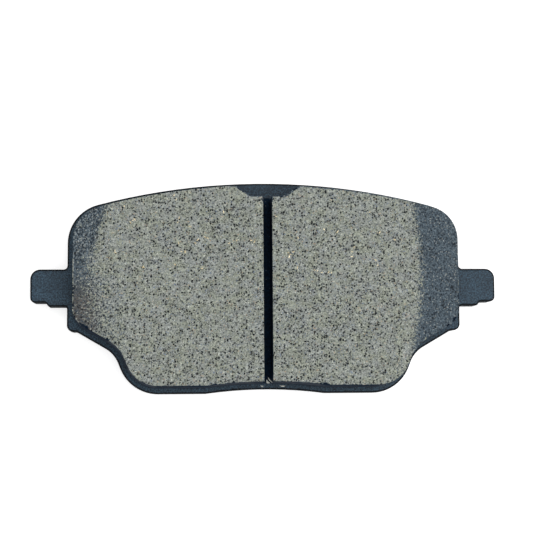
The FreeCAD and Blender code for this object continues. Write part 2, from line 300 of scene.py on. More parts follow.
@dataclass(frozen=True)
class GroundCompound:
    """Friction compound: ground bare on the face, with its dark skin left on the chamfers."""

    matrix_dark: Colour = tone(120, 127, 121)
    matrix_pale: Colour = tone(172, 176, 166)
    graphite: Colour = tone(16, 21, 26)
    slate: Colour = tone(62, 71, 81)
    blue_grain: Colour = tone(108, 122, 142)
    tan_grain: Colour = tone(170, 153, 132)
    pale_grain: Colour = tone(204, 207, 197)
    skin: Colour = tone(98, 112, 121)
    skin_deep: Colour = tone(40, 51, 62)
    skin_warm: Colour = tone(88, 84, 80)
    scuff_deep: Colour = tone(14, 25, 38)
    scuff_pale: Colour = tone(186, 190, 188)
    skin_fleck: Colour = tone(172, 174, 168)
    scuff_share: float = 0.75
    fleck_share: float = 0.8
    # Share of the painted shade in the deepest pits
    pit_shade_share: float = 0.85
    ragged_edge: Pair = (0.88, 1.12)

    def layers(self) -> tuple[Grains, ...]:
        """Give the grains, from the smallest below to the coarsest on top."""
        fine = ((0.0, self.graphite), (0.06, self.slate), (0.15, CLEAR))
        fine += ((0.8, self.pale_grain), (0.92, self.blue_grain))
        middling = ((0.0, self.graphite), (0.13, self.slate), (0.18, self.blue_grain))
        middling += ((0.24, self.tan_grain), (0.29, CLEAR))
        coarse = ((0.0, self.graphite), (0.27, CLEAR))
        return (
            Grains(4.4, 0.5, 0.8, fine),
            Grains(2.9, 0.46, 0.86, middling),
            Grains(1.9, 0.5, 1.0, coarse),
        )

    def matrix(self, graph: Graph) -> Socket:
        """Colour the ground compound.

        Args:
            graph: Tree to work in.

        Returns:
            The colour.
        """
        fine = graph.noise(2.6, 2.0, 0.6)
        colour = graph.ramp(fine, [(0.3, self.matrix_dark), (0.7, self.matrix_pale)]).outputs[0]
        broad = graph.span(graph.noise(0.35, 2.0), 0.3, 0.7, (0.92, 1.08))
        cool = graph.span(graph.noise(0.55, 2.0), 0.3, 0.7, (0.93, 1.07))
        colour = graph.shade(colour, broad, graph.maths("MULTIPLY", broad, cool))
        drift = graph.node("TexNoise", {"Vector": graph.at, "Scale": 2.3, "Detail": 1.0})
        bent = graph.node(
            "VectorMath",
            {0: drift.outputs["Color"], 1: (0.5, 0.5, 0.5), 2: graph.at},
            operation="MULTIPLY_ADD",
        ).outputs[0]
        for layer in self.layers():
            grain = graph.cells(layer.per_mm, bent)
            kind = graph.ramp(graph.chance(grain), layer.kinds, hard=True)
            disc = graph.span(grain.outputs["Distance"], layer.reach, layer.reach * 0.65)
            share = graph.maths("MULTIPLY", disc, kind.outputs["Alpha"])
            colour = graph.mix(share, colour, kind.outputs["Color"])
            colour = self.vary(graph, grain, colour, layer.darkest)
        return colour

    @staticmethod
    def vary(graph: Graph, grain: Node, colour: Socket, darkest: float) -> Socket:
        """Shade each grain a little, between the darkest share and as much above 1."""
        by = graph.span(graph.chance(grain, 1), 0.0, 1.0, (darkest, 2 - darkest))
        return graph.shade(colour, by)

    def skin_colour(self, graph: Graph) -> Socket:
        """Colour the dark skin.

        Args:
            graph: Tree to work in.

        Returns:
            The colour.
        """
        fine = graph.noise(2.8, 2.0, 0.6)
        colour = graph.ramp(fine, [(0.35, self.skin_deep), (0.65, self.skin)]).outputs[0]
        rubbed = graph.maths("MULTIPLY", graph.value("rubbed"), graph.span(fine, 0.35, 0.6))
        colour = graph.mix(rubbed, colour, self.skin_warm)
        stops = [(0.42, self.scuff_deep), (0.57, self.skin), (0.7, self.scuff_pale)]
        streak = graph.noise(3.6, 2.0, 0.6, graph.place((1.0, 0.6, 1.0)))
        scuff = graph.maths("MULTIPLY", graph.value("scuffed"), self.scuff_share)
        colour = graph.mix(scuff, colour, graph.ramp(streak, stops).outputs[0])
        grain = graph.cells(3.2)
        fleck = graph.spots(grain, (0.8, 0.92), (0.5, 0.25))
        fleck = graph.maths("MULTIPLY", fleck, self.fleck_share)
        colour = graph.mix(fleck, colour, self.skin_fleck)
        return self.vary(graph, grain, colour, 0.75)

    def make(self) -> Material:
        """Build the material."""
        graph = Graph("ground_compound")
        bare = self.matrix(graph)
        skin = self.skin_colour(graph)
        ragged = graph.noise(2.2, 3.0, 0.65)
        edge = graph.maths("MULTIPLY_ADD", ragged, 2.0, graph.value("skin"))
        cover = graph.span(edge, *self.ragged_edge)
        colour = graph.mix(cover, bare, skin)
        colour = graph.mix(graph.span(graph.value("chip"), 0.05, 0.25), colour, bare)
        # Painted shade in the pits: the deeper a pit, the further it is mixed toward the graphite
        # colour
        hole = graph.span(graph.value("pit"), 0.15, 0.7)
        colour = graph.mix(graph.maths("MULTIPLY", hole, self.pit_shade_share), colour, self.graphite)
        rough = graph.span(graph.noise(3.0), 0.3, 0.7, (0.62, 0.86))
        normal = graph.bump(graph.noise(5.0, 2.0, 0.6), 0.05)
        return graph.surface(
            Base_Color=colour, Roughness=rough, Normal=normal, Specular_IOR_Level=0.25
        )


@dataclass(frozen=True)
class MouldSkin:
    """Painted, moulded sides of the block, the underlayer, the slot and the notch.

    Grains whose random number is above flecks are pale.
    """

    name: str
    deep: Colour = tone(4, 12, 22)
    pale: Colour = tone(20, 40, 60)
    fleck: Colour = tone(84, 92, 98)
    flecks: float = 0.92

    def make(self) -> Material:
        """Build the material."""
        graph = Graph(self.name)
        fine = graph.noise(1.8, 3.0, 0.6)
        colour = graph.ramp(fine, [(0.3, self.deep), (0.72, self.pale)]).outputs[0]
        fleck = graph.spots(graph.cells(2.4), (self.flecks, 1.0), (0.4, 0.15))
        colour = graph.mix(fleck, colour, self.fleck)
        rough = graph.span(fine, 0.3, 0.7, (0.75, 0.95))
        normal = graph.bump(graph.noise(2.6, 3.0, 0.6), 0.08)
        return graph.surface(
            Base_Color=colour, Roughness=rough, Normal=normal, Specular_IOR_Level=0.08
        )


@dataclass(frozen=True)
class PowderCoat:
    """Dark blue-grey powder coat on the blanked steel plate.

    Behind the notch the plate carries painted shade, for the shade of the block's walls: it
    thins out from one place to the other beside the pad's middle and up the pad. A spot faces up
    or down from one share of a level normal to the other, and all else, the plate's sides and
    rolled edges, gets a darker painted shade.
    """

    deep: Colour = tone(10, 31, 46)
    pale: Colour = tone(66, 90, 107)
    # Painted shade on the plate's sides and rolled edges; the deep tone also colours the pinholes
    pinhole_and_side_shade_deep: Colour = tone(4, 6, 8)
    side_shade_pale: Colour = tone(22, 29, 36)
    fleck: Colour = tone(86, 98, 108)
    # Painted shade behind the notch: where it starts and is full beside the middle, where up the
    # pad, and its most share
    notch_shade_beside: Pair = (10.5, 8.5)
    notch_shade_behind: Pair = (18.0, 19.0)
    notch_shade_most: float = 0.75
    level_normal: Pair = (0.96, 0.9995)
    gloss: Pair = (0.42, 0.6)
    edge_rougher: float = 0.4

    def flat(self, graph: Graph, peel: Socket) -> Socket:
        """Colour the plate's flats, with flecks, pinholes and painted shade behind the notch.

        Args:
            graph: Tree to work in.
            peel: Unevenness of the coat, 0 to 1.

        Returns:
            The colour.
        """
        colour = graph.ramp(peel, [(0.39, self.deep), (0.63, self.pale)]).outputs[0]
        colour = graph.shade(colour, graph.span(graph.noise(0.3), 0.3, 0.7, (0.88, 1.12)))
        pinhole = graph.spots(graph.cells(0.5), (0.8, 0.85), (0.12, 0.06))
        colour = graph.mix(pinhole, colour, self.pinhole_and_side_shade_deep)
        # Painted shade: the plate behind the notch is darkened toward the deep tone, for the
        # shade of the block's walls
        colour = graph.mix(self.film(graph), colour, self.deep)
        fleck = graph.spots(graph.cells(2.2), (0.9, 1.0), (0.4, 0.1))
        return graph.mix(fleck, colour, self.fleck)

    # Painted shade on the plate behind the notch, where the block's walls shade it
    def film(self, graph: Graph) -> Socket:
        """Give how much painted shade lies on the plate behind the notch, for the block walls'
        shade.

        Args:
            graph: Tree to work in.

        Returns:
            Its share, 0 to 1.
        """
        where = graph.node("SeparateXYZ", {"Vector": graph.at}).outputs
        beside = graph.span(graph.maths("ABSOLUTE", where["X"]), *self.notch_shade_beside)
        behind = graph.span(where["Y"], *self.notch_shade_behind)
        patchy = graph.span(graph.noise(1.6, 3.0, 0.65), 0.35, 0.65, (0.0, self.notch_shade_most))
        return graph.maths("MULTIPLY", graph.maths("MULTIPLY", beside, behind), patchy)

    def make(self) -> Material:
        """Build the material, with painted shade on the plate's sides and rolled edges."""
        graph = Graph("powder_coat")
        peel = graph.noise(2.8, 2.0, 0.6)
        flat = self.flat(graph, peel)
        # Painted shade: faces that do not face up or down take a near-black colour in place of
        # the coat's own
        side_shade_mottle = graph.noise(2.4, 3.0, 0.65, graph.place((1.0, 1.0, 0.35)))
        edge = graph.ramp(side_shade_mottle, [(0.38, self.pinhole_and_side_shade_deep), (0.62, self.side_shade_pale)]).outputs[0]
        facing = graph.node("NewGeometry", {}).outputs["True Normal"]
        upright = graph.node("SeparateXYZ", {"Vector": facing}).outputs["Z"]
        level = graph.span(graph.maths("ABSOLUTE", upright), *self.level_normal)
        worst = graph.maths("ADD", graph.span(peel, 0.3, 0.7, self.gloss), self.edge_rougher)
        rough = graph.maths("MULTIPLY_ADD", level, -self.edge_rougher, worst)
        return graph.surface(
            Base_Color=graph.mix(level, edge, flat),
            Roughness=rough,
            Normal=graph.bump(graph.noise(2.2, 3.0, 0.55), 0.06),
            Specular_IOR_Level=0.25,
        )


@dataclass(frozen=True)
class Mottled:
    """A finely mottled finish: two tones, where they start to mix, sheen and grain."""

    name: str
    deep: Colour
    pale: Colour
    roughness: Pair
    tones: Pair = (0.3, 0.7)
    per_mm: float = 2.0
    grain_per_mm: float = 4.0
    grain: float = 0.03
    metallic: float = 0.0
    stretch: Triple = (1.0, 1.0, 1.0)
    grain_stretch: Triple = (1.0, 1.0, 1.0)

    def make(self) -> Material:
        """Build the material."""
        graph = Graph(self.name, self.stretch)
        mottle = graph.noise(self.per_mm, 3.0, 0.6)
        colour = graph.ramp(mottle, list(zip(self.tones, (self.deep, self.pale)))).outputs[0]
        rough = graph.span(mottle, 0.3, 0.7, self.roughness)
        grain = graph.noise(self.grain_per_mm, at=graph.place(self.grain_stretch))
        normal = graph.bump(grain, self.grain)
        metal = self.metallic
        return graph.surface(Base_Color=colour, Roughness=rough, Normal=normal, Metallic=metal)


BRASS = Mottled(
    "brass",
    tone(186, 168, 128),
    tone(232, 218, 182),
    (0.5, 0.3),
    tones=(0.35, 0.6),
    per_mm=1.5,
    grain_per_mm=2.0,
    grain=0.01,
    metallic=0.6,
    grain_stretch=(1.0, 6.0, 6.0),
)
FIBRE = Mottled(
    "fibre",
    tone(138, 142, 138),
    tone(196, 198, 190),
    (0.6, 0.8),
    tones=(0.35, 0.65),
    per_mm=3.0,
    grain_per_mm=8.0,
    grain=0.01,
)
BOND_FILM = Mottled("bond_film", tone(14, 17, 21), tone(34, 38, 42), (0.5, 0.7))
SHIM_GLUE = Mottled("shim_adhesive", tone(120, 104, 72), tone(160, 142, 104), (0.3, 0.5))
SHIM_RUBBER = Mottled(
    "shim_rubber", tone(30, 32, 34), tone(52, 54, 56), (0.6, 0.8), per_mm=3.0, grain_per_mm=6.0
)
SHIM_STEEL = Mottled(
    "shim_steel",
    tone(128, 130, 132),
    tone(176, 178, 180),
    (0.25, 0.45),
    per_mm=1.0,
    grain_per_mm=2.0,
    grain=0.01,
    metallic=1.0,
    stretch=(0.3, 0.3, 8.0),
    grain_stretch=(0.3, 0.3, 8.0),
)


# --- modelling bench
class Bench:
    """Modelling moves that every piece shares."""

    @staticmethod
    def clear() -> None:
        """Deselect every object."""
        for item in bpy.context.view_layer.objects:
            item.select_set(False)

    @staticmethod
    def hold(piece: Piece) -> None:
        """Select one piece alone and make it active."""
        Bench.clear()
        piece.select_set(True)
        bpy.context.view_layer.objects.active = piece

    @staticmethod
    @contextmanager
    def editing(piece: Piece, pick: str = "SELECT") -> Iterator[None]:
        """Work on a piece in edit mode.

        Args:
            piece: The piece.
            pick: What happens to its selection first, SELECT or DESELECT for all of it.

        Yields:
            Nothing; edit mode ends after the block.
        """
        Bench.hold(piece)
        bpy.ops.object.mode_set(mode="EDIT")
        bpy.ops.mesh.select_all(action=pick)
        yield
        bpy.ops.object.mode_set(mode="OBJECT")

    @staticmethod
    def named(name: str) -> Piece:
        """Name the active object and its mesh."""
        made = bpy.context.object
        made.name = name
        made.data.name = name
        return made

    @staticmethod
    def modify(piece: Piece, kind: str, **settings: Any) -> None:
        """Add a modifier and apply it.

        Args:
            piece: The piece.
            kind: Modifier type.
            **settings: Its settings.
        """
        Bench.hold(piece)
        made = piece.modifiers.new("work", kind)
        for key, value in settings.items():
            setattr(made, key, value)
        bpy.ops.object.modifier_apply(modifier=made.name)

    @staticmethod
    def another(pattern: Piece) -> Piece:
        """Copy a piece, with a mesh of its own."""
        made = pattern.copy()
        made.data = pattern.data.copy()
        bpy.context.collection.objects.link(made)
        return made

    @staticmethod
    def copy_node(node: str, name: str) -> Piece:
        """Copy a CAD node as a clean, merged mesh.

        Args:
            node: The CAD node.
            name: The copy's name.

        Returns:
            The copy.
        """
        made = Bench.another(frame["nodes"][node])
        made.parent = None
        for key in list(made.keys()):
            del made[key]
        made.name = name
        made.data.name = name
        made.data.materials.clear()
        with Bench.editing(made):
            bpy.ops.mesh.remove_doubles(threshold=1e-6)
            bpy.ops.mesh.dissolve_limited(angle_limit=math.radians(0.1))
        return made

    @staticmethod
    def settle(piece: Piece) -> None:
        """Put a piece's place, turn and size into its mesh."""
        Bench.hold(piece)
        bpy.ops.object.transform_apply(location=True, rotation=True, scale=True)

    @staticmethod
    def sliver(name: str, flat: float, bow: float) -> Piece:
        """Model a bent sliver along X, a millimetre long, wide and tapered to its ends.

        Args:
            name: Its name.
            flat: Its height as a share of its width.
            bow: How far its ends bend sideways, in widths.

        Returns:
            The sliver.
        """
        Bench.clear()
        bpy.ops.mesh.primitive_cylinder_add(
            vertices=6, radius=0.5 * MM, depth=1.0 * MM, rotation=(0, math.pi / 2, 0)
        )
        made = Bench.named(name)
        Bench.settle(made)
        with Bench.editing(made):
            bpy.ops.mesh.subdivide(number_cuts=2)
        points = Bench.points(made)
        taper = 1 - 0.8 * (2 * points[:, 0]) ** 2
        points[:, 1] *= taper
        points[:, 2] *= taper * flat
        points[:, 1] += bow * (2 * points[:, 0]) ** 2
        Bench.move_points(made, points)
        return made

    @staticmethod
    def join(parts: Sequence[Piece], name: str) -> Piece:
        """Join pieces into one, with its place in its mesh.

        Args:
            parts: The pieces.
            name: The joined piece's name.

        Returns:
            The joined piece.
        """
        Bench.clear()
        for item in parts:
            item.select_set(True)
        bpy.context.view_layer.objects.active = parts[0]
        bpy.ops.object.transform_apply(location=True, rotation=True, scale=True)
        bpy.ops.object.join()
        return Bench.named(name)

    @staticmethod
    def points(piece: Piece) -> Array:
        """Give a piece's vertices in millimetres, one row each."""
        flat = np.empty(len(piece.data.vertices) * 3)
        piece.data.vertices.foreach_get("co", flat)
        return flat.reshape(-1, 3) / MM

    @staticmethod
    def move_points(piece: Piece, points: Array) -> None:
        """Move a piece's vertices to new places, in millimetres."""
        piece.data.vertices.foreach_set("co", (points * MM).ravel())
        piece.data.update()

    @staticmethod
    def mark(piece: Piece, name: str, values: Array) -> None:
        """Store one number for each vertex, for a finish to read."""
        made = piece.data.attributes.new(name, "FLOAT", "POINT")
        made.data.foreach_set("value", values.astype(np.float32))

    @staticmethod
    def dress(piece: Piece, slot: Slot, *finishes: Material, ride: bool = True) -> None:
        """Give a piece its finishes and the body that it rides on, and log its slot.

        Args:
            piece: The piece.
            slot: Slot that it takes its finish from.
            *finishes: Its materials, in slot order.
            ride: Whether it still has to be put on its body.
        """
        piece.data.materials.clear()
        for finish in finishes:
            piece.data.materials.append(finish)
        if ride:
            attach(piece, BODY)
        log.info("%s: %d faces, slot %s", piece.name, len(piece.data.polygons), slot.value)


class Wander:
    """Seeded random relief on a plane."""

    def __init__(self, seed: int) -> None:
        """Start the random order from a seed."""
        self.random = np.random.default_rng(seed)

    def swell(self, x: Array, y: Array, size: float) -> Array:
        """Give smooth values from -1 to 1.

        Args:
            x, y: Places along and up the pad.
            size: Spacing of the swells.

        Returns:
            One value for each place.
        """
        across = (x - x.min()) / size
        up = (y - y.min()) / size
        knots = self.random.uniform(-1, 1, (int(up.max()) + 3, int(across.max()) + 3))
        i, j = up.astype(int), across.astype(int)
        u, v = up - i, across - j
        u, v = u * u * (3 - 2 * u), v * v * (3 - 2 * v)
        low = knots[i, j] * (1 - v) + knots[i, j + 1] * v
        high = knots[i + 1, j] * (1 - v) + knots[i + 1, j + 1] * v
        return low * (1 - u) + high * u

    def blend(self, x: Array, y: Array, layers: Sequence[Pair]) -> Array:
        """Add up swells, each with its spacing and its share."""
        return sum(share * self.swell(x, y, size) for size, share in layers)


def ease(values: Array, start: float, end: float) -> Array:
    """Give 0 up to the start, 1 from the end on, and a straight ramp between them."""
    return np.clip((values - start) / (end - start), 0, 1)


# --- friction block
@dataclass
class FrictionBlock:
    """The moulded block: ground face, end chamfers, slot, notch and broken edges."""

    node: str = "friction_block"
    seed: int = 7
    # Ground face
    pitch: float = 0.19
    sink: float = 0.02
    grain_depth: float = 0.02
    grain_swells: tuple[Pair, ...] = ((0.4, 0.6), (1.3, 0.4))
    pits_per_mm2: float = 1.5
    pit_radius: Pair = (0.13, 0.32)
    pit_depth: Pair = (0.07, 0.24)
    pit_wall: float = 1.5
    # End chamfers: edges at mid height, angles in degrees, and how the left one leans
    right_edge: float = 34.0
    right_angle: float = 16.0
    left_edge: float = -40.25
    left_angle: float = 12.0
    left_skew: float = 20.0
    # Places by the notch and by the slot
    notch_middle: float = -0.1
    notch_half: float = 9.5
    notch_low: float = 18.5
    slot_half: float = 2.5
    # Skin: where its edges lie at heights up the pad, and how it wears away from the left one
    right_limit: Table = ((-12, -9, -6, 4, 9, 17), (32.7, 33.4, 34.1, 34.4, 34.2, 33.0))
    left_limit: Table = (
        (-10, -5, 0, 4, 8, 12, 17),
        (-38.5, -39.6, -39.7, -40.2, -38.9, -37.7, -35.9),
    )
    left_wear: Table = (
        (-4, -2.7, -1.4, 0, 2.6, 4.7, 6.7, 8.7),
        (0.5, 0.26, 0.14, 0.05, -0.09, -0.15, -0.19, -0.6),
    )
    right_fade: float = 0.24
    left_fade: float = 0.28
    left_most: float = 0.27
    worn_to_sharp: Pair = (2, 10)
    # Skin on the rims: how surely it is there, and how wide by the slot, top right and elsewhere
    rim_skin: float = 0.9
    rim_widths: Triple = (0.06, 0.4, 0.22)
    top_right: Pair = (3.0, 12.0)
    # Lower left, painted highlight: the rim is left bare so the pale compound shows as a glint;
    # left of, below, and how wide
    rim_highlight_zone: Triple = (-34.0, 6.0, 0.3)
    rim_highlight_skin: float = -0.5
    # Where the left chamfer is rubbed and scuffed: from nowhere to all over
    rubbed_across: Pair = (-35.0, -39.0)
    rubbed_down: Pair = (3.0, -3.0)
    scuffed_up: Pair = (2.0, 7.0)
    # Broken edges: reach by the notch, by the slot, below and above mid height, and their shape
    chip_reach: tuple[float, float, float, float] = (0.6, 0.35, 0.8, 0.4)
    chip_swells: tuple[Pair, ...] = ((1.4, 0.7), (0.45, 0.5))
    chip_rarity: float = 0.05
    chip_least: float = 0.06
    chip_slope: float = 1.3
    chip_depth: float = 0.6
    # Paint over them: spacing of its patches, the swell they start at, and how depth shows it
    paint_spacing: float = 2.5
    paint_from: float = -0.35
    paint_gain: float = 6.0
    paint_offset: float = 0.5
    # Depth below the face at which distances from the walls are taken
    rim_probe: float = 3.2
    # Depths below the face from which a point is on a wall, anywhere and where nothing broke off
    wall_depth: float = 1.0
    unbroken_depth: float = 0.3
    unbroken_chip: float = 0.02
    smooth_angle: float = 50.0
    relief: dict[str, Array] = field(default_factory=dict)

    def __post_init__(self) -> None:
        """Read the block's box."""
        low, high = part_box(self.node)
        self.low = np.array(low) / MM
        self.high = np.array(high) / MM

    def chamfers(self, x: Array, y: Array) -> Array:
        """Give how far the end chamfers lie below the face.

        Args:
            x, y: Places along and up the pad.

        Returns:
            Depths, zero on the face.
        """
        right = (x - self.right_edge) * math.tan(math.radians(self.right_angle))
        skew = math.radians(self.left_skew)
        beyond = (self.left_edge - x) * math.cos(skew) + y * math.sin(skew)
        left = beyond * math.tan(math.radians(self.left_angle))
        return np.maximum(0, np.maximum(right, left))

    def skin(self, x: Array, y: Array) -> Array:
        """Give how surely the dark skin is left at each place.

        Args:
            x, y: Places along and up the pad.

        Returns:
            Negative where the face is ground bare, positive on the skin.
        """
        right = (x - np.interp(y, *self.right_limit)) * self.right_fade
        within = x - np.interp(y, *self.left_limit)
        worn = np.interp(within, *self.left_wear)
        sharp = np.minimum(within * -self.left_fade, self.left_most)
        left = worn + (sharp - worn) * np.interp(y, self.worn_to_sharp, (0, 1))
        return np.clip(np.maximum(right, left), -3, 3)

    def by_notch(self, x: Array, y: Array) -> Array:
        """Tell which places lie by the notch in the outer edge."""
        return (np.abs(x - self.notch_middle) < self.notch_half) & (y > self.notch_low)

    def by_slot(self, x: Array) -> Array:
        """Tell which places lie by the middle slot."""
        return np.abs(x) < self.slot_half

    def pits(self, x: Array, y: Array, wander: Wander) -> Array:
        """Give the depth of the small holes where grains broke out.

        Args:
            x, y: Columns and rows of the face's grid.
            wander: Source of chance.

        Returns:
            Depths over the grid.
        """
        depth = np.zeros(x.shape)
        rows, columns = x.shape
        area = (x.max() - x.min()) * (y.max() - y.min())
        reach = math.ceil(self.pit_radius[1] * 1.3 / self.pitch)
        for _ in range(int(area * self.pits_per_mm2)):
            px = wander.random.uniform(x.min(), x.max())
            py = wander.random.uniform(y.min(), y.max())
            radius = wander.random.uniform(*self.pit_radius)
            deep = wander.random.uniform(*self.pit_depth)
            j = int((px - x[0, 0]) / self.pitch)
            i = int((py - y[0, 0]) / self.pitch)
            part = (
                slice(max(0, i - reach), min(rows, i + reach + 2)),
                slice(max(0, j - reach), min(columns, j + reach + 2)),
            )
            far = np.hypot(x[part] - px, y[part] - py) / radius
            bowl = np.clip(self.pit_wall - self.pit_wall * far, 0, 1)
            depth[part] = np.maximum(depth[part], deep * bowl)
        return depth

    def rims(self, x: Array, y: Array, blank: Piece) -> Array:
        """Give each place's distance from the nearest wall.

        Args:
            x, y: Places along and up the pad.
            blank: The block's CAD shape.

        Returns:
            Distances.
        """
        mesh = bmesh.new()
        mesh.from_mesh(blank.data)
        flat = [f for f in mesh.faces if abs(f.normal.z) > 0.5]
        bmesh.ops.delete(mesh, geom=flat, context="FACES")
        walls = BVHTree.FromBMesh(mesh)
        height = (self.high[2] - self.rim_probe) * MM
        found = np.empty(x.size)
        for index, (px, py) in enumerate(zip(x.ravel() * MM, y.ravel() * MM)):
            found[index] = walls.find_nearest((px, py, height))[3]
        mesh.free()
        return found.reshape(x.shape) / MM

    def chips(self, x: Array, y: Array, rim: Array, wander: Wander) -> Array:
        """Give the depth of the broken edges.

        Args:
            x, y: Places along and up the pad.
            rim: Distances from the nearest wall.
            wander: Source of chance.

        Returns:
            Depths.
        """
        notch, slot, low, high = self.chip_reach
        reach = np.where(y < 0, low, high)
        reach = np.where(self.by_slot(x), slot, reach)
        reach = np.where(self.by_notch(x, y), notch, reach)
        swell = wander.blend(x, y, self.chip_swells)
        width = np.maximum(0, swell - self.chip_rarity) * reach + self.chip_least
        return np.clip((width - rim) * self.chip_slope, 0, self.chip_depth)

    def paint(
        self, x: Array, y: Array, rim: Array, chip: Array, wander: Wander
    ) -> tuple[Array, Array]:
        """Give how surely skin is left on the face, its rims and its broken edges.

        Args:
            x, y: Places along and up the pad.
            rim: Distances from the nearest wall.
            chip: Depths of the broken edges.
            wander: Source of chance.

        Returns:
            The skin, and which places have all that broke off painted over.
        """
        slot = self.by_slot(x) & (y < self.notch_low)
        by_slot, top_right, elsewhere = self.rim_widths
        right, above = self.top_right
        band = np.where(slot, by_slot, np.where((y > above) & (x > right), top_right, elsewhere))
        skin = np.maximum(self.skin(x, y), self.rim_skin - self.rim_skin * rim / band)
        # Painted highlight: the pale bare compound along the lower left rim stands for a glint on
        # the block's edge
        left, below, wide = self.rim_highlight_zone
        skin = np.where((x < left) & (y < below) & (rim < wide), self.rim_highlight_skin, skin)
        patch = wander.swell(x, y, self.paint_spacing) > self.paint_from
        painted = self.by_notch(x, y) | (~slot & patch)
        over = np.maximum(skin, chip * self.paint_gain - self.paint_offset)
        return np.where(painted, over, skin), painted

    def sculpt(self, slab: Piece, blank: Piece) -> None:
        """Shape the top of the slab into the ground face.

        Args:
            slab: The gridded slab.
            blank: The block's CAD shape.
        """
        wander = Wander(self.seed)
        points = Bench.points(slab)
        top = points[:, 2] > self.high[2] - 1
        xs = np.unique(points[top, 0].round(4))
        ys = np.unique(points[top, 1].round(4))
        x, y = np.meshgrid(xs, ys)
        grain = wander.blend(x, y, self.grain_swells)
        pit = self.pits(x, y, wander)
        rim = self.rims(x, y, blank)
        chip = self.chips(x, y, rim, wander)
        skin, painted = self.paint(x, y, rim, chip, wander)
        drop = self.sink + self.grain_depth * (1 + grain) / 2 + np.maximum(pit, chip)
        height = self.high[2] - self.chamfers(x, y) - drop
        i = np.clip(np.searchsorted(ys, points[top, 1] - self.pitch / 2), 0, len(ys) - 1)
        j = np.clip(np.searchsorted(xs, points[top, 0] - self.pitch / 2), 0, len(xs) - 1)
        points[top, 2] = height[i, j]
        Bench.move_points(slab, points)
        self.relief = {
            "xs": xs,
            "ys": ys,
            "height": height,
            "skin": skin,
            "pit": pit / self.pit_depth[1],
            "chip": np.where(painted, 0, chip),
            "rubbed": ease(x, *self.rubbed_across) * ease(y, *self.rubbed_down),
            "scuffed": (x < 0) * ease(y, *self.scuffed_up),
        }

    def look_up(self, name: str, x: Array, y: Array) -> Array:
        """Read the face's relief at places.

        Args:
            name: Which relief: height, skin, pit, chip, rubbed or scuffed.
            x, y: Places along and up the pad.

        Returns:
            One value for each place.
        """
        xs, ys = self.relief["xs"], self.relief["ys"]
        j = np.clip(np.round((x - xs[0]) / (xs[1] - xs[0])).astype(int), 0, len(xs) - 1)
        i = np.clip(np.round((y - ys[0]) / (ys[1] - ys[0])).astype(int), 0, len(ys) - 1)
        return self.relief[name][i, j]

    def slab(self) -> Piece:
        """Make a slab with a fine grid on its top, a little larger than the block.

        Returns:
            The slab.
        """
        spare = 2 * self.pitch
        size = self.high - self.low + 2 * spare
        middle = (self.high + self.low) / 2
        count = [int(round(size[axis] / self.pitch)) for axis in (0, 1)]
        Bench.clear()
        bpy.ops.mesh.primitive_grid_add(
            x_subdivisions=count[0],
            y_subdivisions=count[1],
            size=1,
            location=(middle[0] * MM, middle[1] * MM, self.high[2] * MM),
        )
        made = Bench.named("friction_block_body")
        made.scale = (size[0] * MM, size[1] * MM, 1)
        Bench.settle(made)
        with Bench.editing(made):
            down = -(self.high[2] - self.low[2] + 1) * MM
            bpy.ops.mesh.extrude_region_move(TRANSFORM_OT_translate={"value": (0, 0, down)})
        with Bench.editing(made):
            bpy.ops.mesh.normals_make_consistent(inside=False)
        return made

    def build(self) -> None:
        """Model the block and give it its finishes."""
        blank = Bench.copy_node(self.node, "blank")
        made = self.slab()
        self.sculpt(made, blank)
        made.data.materials.append(GroundCompound().make())
        made.data.materials.append(MouldSkin("mould_skin").make())
        Bench.modify(made, "BOOLEAN", operation="INTERSECT", object=blank, solver="MANIFOLD")
        bpy.data.objects.remove(blank)
        points = Bench.points(made)
        x, y = points[:, 0], points[:, 1]
        for name in ("skin", "pit", "chip", "rubbed", "scuffed"):
            Bench.mark(made, name, self.look_up(name, x, y))
        depth = self.high[2] - self.chamfers(x, y) - points[:, 2]
        whole = self.look_up("chip", x, y) < self.unbroken_chip
        unbroken = (depth > self.unbroken_depth) & whole
        wall = (depth > self.wall_depth) | (unbroken & ~self.by_slot(x))
        for face in made.data.polygons:
            face.material_index = int(any(wall[v] for v in face.vertices))
        Bench.hold(made)
        bpy.ops.object.shade_smooth_by_angle(angle=math.radians(self.smooth_angle))
        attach(made, BODY)
        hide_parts(self.node)
        log.info("%s: %d faces", made.name, len(made.data.polygons))


